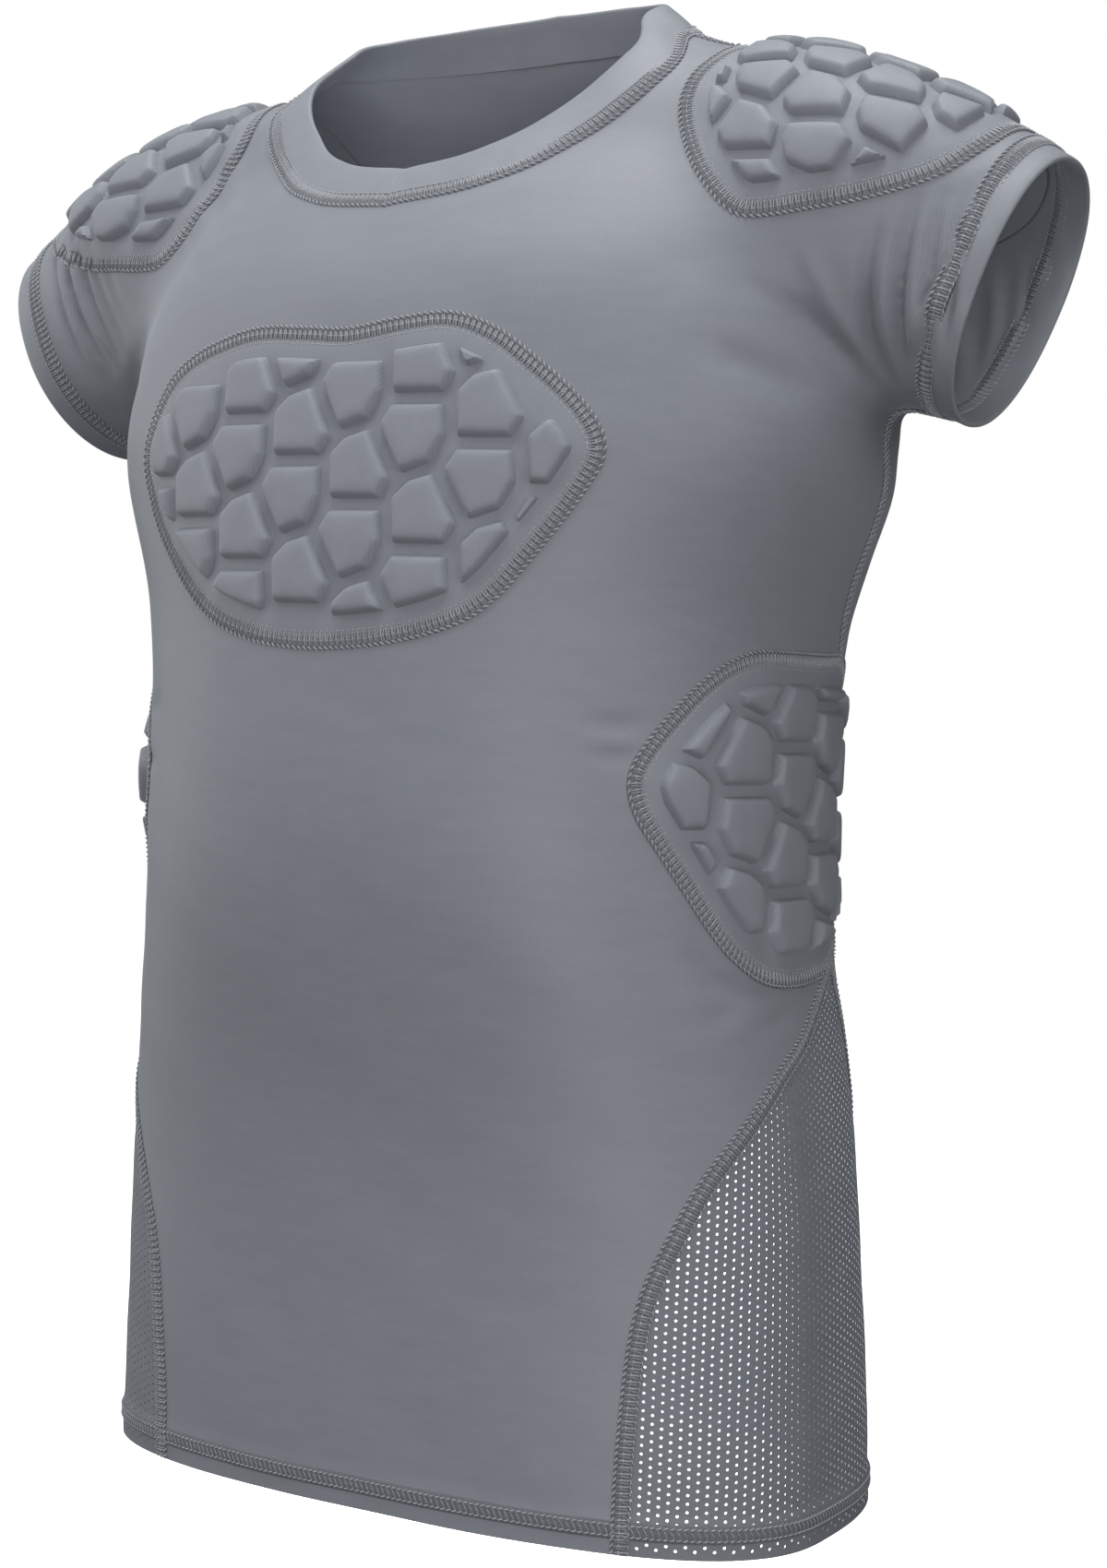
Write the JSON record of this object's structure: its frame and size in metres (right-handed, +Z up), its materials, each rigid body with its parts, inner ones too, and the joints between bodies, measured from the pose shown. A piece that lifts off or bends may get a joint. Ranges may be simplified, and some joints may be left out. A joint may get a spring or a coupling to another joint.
{
  "type": "padded compression shirt",
  "caption": "Short-sleeved padded sports shirt, filled out: cellular foam pads on chest, ribs and shoulders, net side panels, crew collar and cuff bands.",
  "frame": {"origin": "the point where the wearer's shoulders carry the shirt: on its middle plane, level with the high points of the neck", "axes": "+Z up along the body, -Y the way the front faces, +X towards the wearer's left"},
  "size_m": [0.4474, 0.2342, 0.5655],
  "materials": {
    "body_cloth": "smooth stretch knit, soft sheen",
    "band_cloth": "smooth doubled stretch knit",
    "pad_cloth": "finely ribbed stretch knit over foam",
    "net_cloth": "eyelet net knit"
  },
  "bodies": {
    "root": {"front": "body_cloth", "back": "body_cloth", "collar": "band_cloth", "cuff_left": "band_cloth", "cuff_right": "band_cloth", "chest_pad": "pad_cloth", "shoulder_pad_left": "pad_cloth", "shoulder_pad_right": "pad_cloth", "rib_pad_left": "pad_cloth", "rib_pad_right": "pad_cloth", "mesh_left": "net_cloth", "mesh_right": "net_cloth"}
  },
  "joints": []
}
